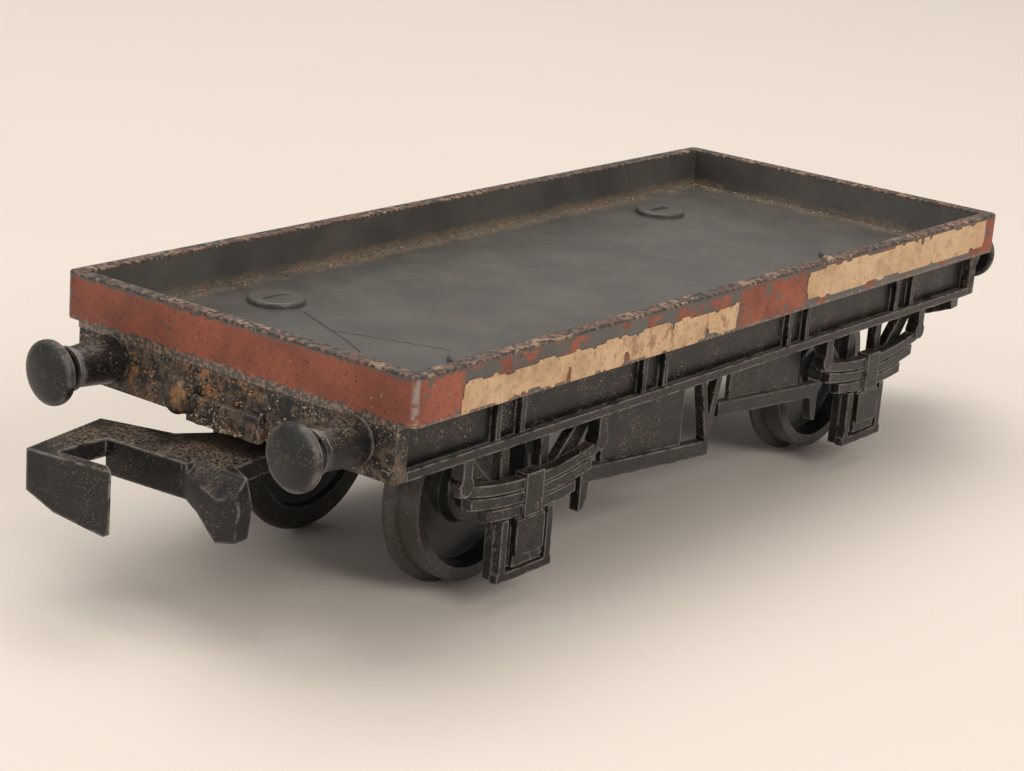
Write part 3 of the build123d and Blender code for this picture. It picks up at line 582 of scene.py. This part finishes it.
# %% Torn strips
def torn_strip(node, name, finish, tear, seed):
    low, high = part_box(node)
    outward = 1 if high[1] > 0 else -1
    length, height = high[0] - low[0], high[2] - low[2]
    square = 0.2 * MM
    bpy.ops.object.select_all(action="DESELECT")
    bpy.ops.mesh.primitive_grid_add(
        x_subdivisions=round(length / square), y_subdivisions=round(height / square), size=1,
        rotation=(pi / 2 * -outward, 0, 0),
        location=((low[0] + high[0]) / 2, outward * (half_width + 0.03 * MM), (low[2] + high[2]) / 2),
    )
    strip = bpy.context.active_object
    strip.name = name
    strip.scale = (length, height, 1)
    bpy.ops.object.transform_apply(location=True, rotation=True, scale=True)
    bpy.ops.object.mode_set(mode="EDIT")
    bpy.ops.mesh.select_all(action="DESELECT")
    bpy.ops.object.mode_set(mode="OBJECT")
    for face in strip.data.polygons:
        centre = face.center
        to_end = min(centre.x - low[0], high[0] - centre.x)
        to_edge = min(centre.z - low[2], high[2] - centre.z)
        coarse = noise.fractal(Vector((centre.x / (2.2 * MM), seed, centre.z / (1.6 * MM))), 1.0, 2.2, 5)
        bite = tear * MM * (0.22 + 0.8 * coarse)
        hole = noise.noise(Vector((centre.x / (1.1 * MM), seed + 7, centre.z / (2.5 * MM))))
        face.select = min(to_end, to_edge) < bite or hole > 0.62 - 0.1 * tear
    bpy.ops.object.mode_set(mode="EDIT")
    bpy.ops.mesh.delete(type="FACE")
    bpy.ops.mesh.select_all(action="SELECT")
    bpy.ops.mesh.delete_loose()
    bpy.ops.mesh.select_all(action="DESELECT")
    bpy.ops.mesh.select_non_manifold(extend=False, use_boundary=True)
    bpy.ops.mesh.vertices_smooth(factor=0.5, repeat=2, yaxis=False)
    bpy.ops.object.mode_set(mode="OBJECT")
    apply_modifier(strip, "SOLIDIFY", thickness=0.05 * MM, offset=0.0)
    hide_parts(node)
    return finish_piece(strip, "wagon", "label_paper", finish)


for number, side in enumerate(("right", "left")):
    torn_strip(f"paper_label_long_{side}", f"torn_label_long_{side}", long_paper, 0.5, 3.1 + number)
    torn_strip(f"paper_label_short_{side}", f"torn_label_short_{side}", short_paper, 0.3, 5.7 + number)
print("labels torn")

# %% [markdown]
# ## Crumbs of dirt
# Under a lens the dust is crumbs with height, and they throw tiny shadows.  One lump is pulled out
# of round, then copied with a new size and turn for each place, and the copies on one ledge are
# joined.  They are kept small and few, so the dust finish still does most of the work.


# %% One lump, copied
def scatter(name, finish, slot, low, high, count, largest, seed, settle=None):
    chance = Random(seed)
    bpy.ops.object.select_all(action="DESELECT")
    bpy.ops.mesh.primitive_ico_sphere_add(subdivisions=2, radius=1.0)
    lump = bpy.context.active_object
    for vertex in lump.data.vertices:
        vertex.co *= 1 + 0.45 * noise.noise(vertex.co * 1.3 + Vector((seed, 0, 0)))
    copies = []
    for _ in range(count):
        place = Vector([chance.uniform(a, b) for a, b in zip(low, high)])
        size = largest * chance.uniform(0.3, 1.0) ** 2
        spun = Matrix.Rotation(chance.uniform(0, 2 * pi), 4, "Z")
        turn = spun @ Matrix.Rotation(chance.uniform(0, pi), 4, "X")
        crumb = lump.copy()
        crumb.data = lump.data.copy()
        flat = Matrix.Diagonal((size, size * chance.uniform(0.6, 1.0), size * chance.uniform(0.45, 0.8), 1))
        crumb.data.transform(Matrix.Translation(place) @ turn @ flat)
        bpy.context.scene.collection.objects.link(crumb)
        copies.append(crumb)
    bpy.data.objects.remove(lump)
    bpy.ops.object.select_all(action="DESELECT")
    for crumb in copies:
        crumb.select_set(True)
    bpy.context.view_layer.objects.active = copies[0]
    bpy.ops.object.join()
    crumbs = bpy.context.active_object
    crumbs.name = name
    bpy.ops.object.shade_smooth_by_angle(angle=radians(40))
    return finish_piece(crumbs, "wagon", slot, finish)


def crumb_finish(name, colour, other):
    finish = Finish(name, 0.9)
    tone = finish.over(finish.above(finish.blotches(0.8 * MM, 3), 0.42, 0.58), colour, other)
    finish.bump(finish.blotches(0.12 * MM, 3), 0.02 * MM)
    return finish.done(tone)


beige_crumb = crumb_finish("dust_crumb_beige", pale_dust, brown_dust)
rust_crumb = crumb_finish("dust_crumb_rust", rust_orange, brown_dust)

# %% Crumbs on the front beam, the solebar ledges and the floor
headstock_low, headstock_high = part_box("headstock_front")
face = headstock_low[0]
scatter(
    "crumbs_headstock_dust", beige_crumb, "underframe_plastic",
    (face - 0.05 * MM, -15.5 * MM, headstock_low[2] + 0.3 * MM),
    (face + 0.05 * MM, 15.5 * MM, headstock_high[2] - 0.1 * MM), 260, 0.13 * MM, 11,
)
scatter(
    "crumbs_headstock_rust", rust_crumb, "underframe_plastic",
    (face - 0.06 * MM, -4 * MM, headstock_low[2] + 0.8 * MM),
    (face + 0.05 * MM, 9 * MM, headstock_high[2] - 0.1 * MM), 110, 0.16 * MM, 12,
)
pad_low, pad_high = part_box("drawhook_front")
scatter(
    "crumbs_pad_dust", beige_crumb, "underframe_plastic",
    (face - 1.8 * MM, -3.4 * MM, pad_low[2] + 0.62 * MM), (face - 0.1 * MM, 3.4 * MM, pad_low[2] + 0.66 * MM),
    60, 0.17 * MM, 13,
)
for side, sign in (("right", -1), ("left", 1)):
    bar_low, bar_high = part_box(f"solebar_{side}")
    inner, outer = sorted((sign * 15.1 * MM, sign * 15.6 * MM))
    scatter(
        f"crumbs_solebar_{side}", beige_crumb, "underframe_plastic",
        (bar_low[0] + MM, inner, bar_low[2] + 0.5 * MM), (bar_high[0] - MM, outer, bar_low[2] + 0.54 * MM),
        260, 0.11 * MM, 21 + sign,
    )
for number, (low, high) in enumerate((
    ((-inner_half_length, inner_half_width - 1.2 * MM), (inner_half_length, inner_half_width)),
    ((inner_half_length - 1.2 * MM, -inner_half_width), (inner_half_length, inner_half_width)),
    ((-inner_half_length, -inner_half_width), (-inner_half_length + 0.8 * MM, inner_half_width)),
)):
    scatter(
        f"crumbs_floor_{number}", beige_crumb, "body_plastic",
        (*low, floor_height), (*high, floor_height + 0.05 * MM), 120, 0.17 * MM, 31 + number,
    )
scatter(
    "crumb_on_rim", beige_crumb, "body_plastic",
    (11.4 * MM, -half_width + 0.4 * MM, rim_height - 0.2 * MM), (12.4 * MM, -half_width + 0.9 * MM, rim_height),
    6, 0.7 * MM, 41,
)

# %% [markdown]
# ## Floor, light and camera
# A plain pale floor and big soft lamps keep the eye on the wagon.  Black plastic only shows its
# form through what it reflects, so the overhead lamp is wide and the surroundings are bright.


# %% Pale floor
def pale_floor():
    finish = Finish("studio_floor", 0.55)
    tone = finish.over(finish.blotches(60 * MM, 4), (0.755, 0.680, 0.61, 1), (0.785, 0.71, 0.64, 1))
    finish.bump(finish.blotches(1.5 * MM, 4), 0.03 * MM)
    return finish.done(tone)


bpy.ops.object.select_all(action="DESELECT")
bpy.ops.mesh.primitive_plane_add(size=6.0, location=(0, 0, 0))
floor = bpy.context.active_object
floor.name = "studio_floor"
floor.data.materials.append(pale_floor())


# %% Soft lamps and bright surroundings
def soft_lamp(name, place, size, power, colour):
    lamp = bpy.data.lights.new(name, "AREA")
    lamp.size = size
    lamp.energy = power
    lamp.color = colour
    holder = bpy.data.objects.new(name, lamp)
    holder.location = place
    holder.rotation_euler = (-Vector(place)).to_track_quat("-Z", "Y").to_euler()
    bpy.context.scene.collection.objects.link(holder)


soft_lamp("overhead", (0.10, 0.15, 0.75), 0.7, 4.4, (1.0, 0.975, 0.94))
soft_lamp("key_right", (-0.10, -0.65, 0.42), 0.35, 2.5, (1.0, 0.97, 0.93))
soft_lamp("fill_left", (-0.70, 0.25, 0.30), 0.5, 1.4, (1.0, 0.98, 0.96))
world = bpy.data.worlds.new("bright_room")
world.use_nodes = True
world.node_tree.nodes["Background"].inputs[0].default_value = (1.0, 0.955, 0.90, 1)
world.node_tree.nodes["Background"].inputs[1].default_value = 0.40
bpy.context.scene.world = world
bpy.context.scene.view_settings.view_transform = "Standard"

# %% Camera
camera_place = Vector((-161.4, -113.9, 68.75)) * MM
camera_azimuth, camera_elevation, camera_roll = -53.33, 16.99, 4.63
turn = Matrix.Rotation(radians(camera_azimuth), 4, "Z")
tilt = Matrix.Rotation(radians(90 - camera_elevation), 4, "X")
roll = Matrix.Rotation(radians(camera_roll), 4, "Z")
lens = bpy.data.cameras.new("camera")
lens.lens = 84.8
lens.sensor_width = 36
lens.clip_start = 0.01
camera = bpy.data.objects.new("camera", lens)
camera.matrix_world = Matrix.Translation(camera_place) @ turn @ tilt @ roll
bpy.context.scene.collection.objects.link(camera)
bpy.context.scene.camera = camera

# %% [markdown]
# ## Bringing the scene up to date
# The softened copies and crumbs must not make the wagon bigger than its frame.  This last cell only
# brings the view layer up to date.

# %% Bring the scene up to date
bpy.context.view_layer.update()
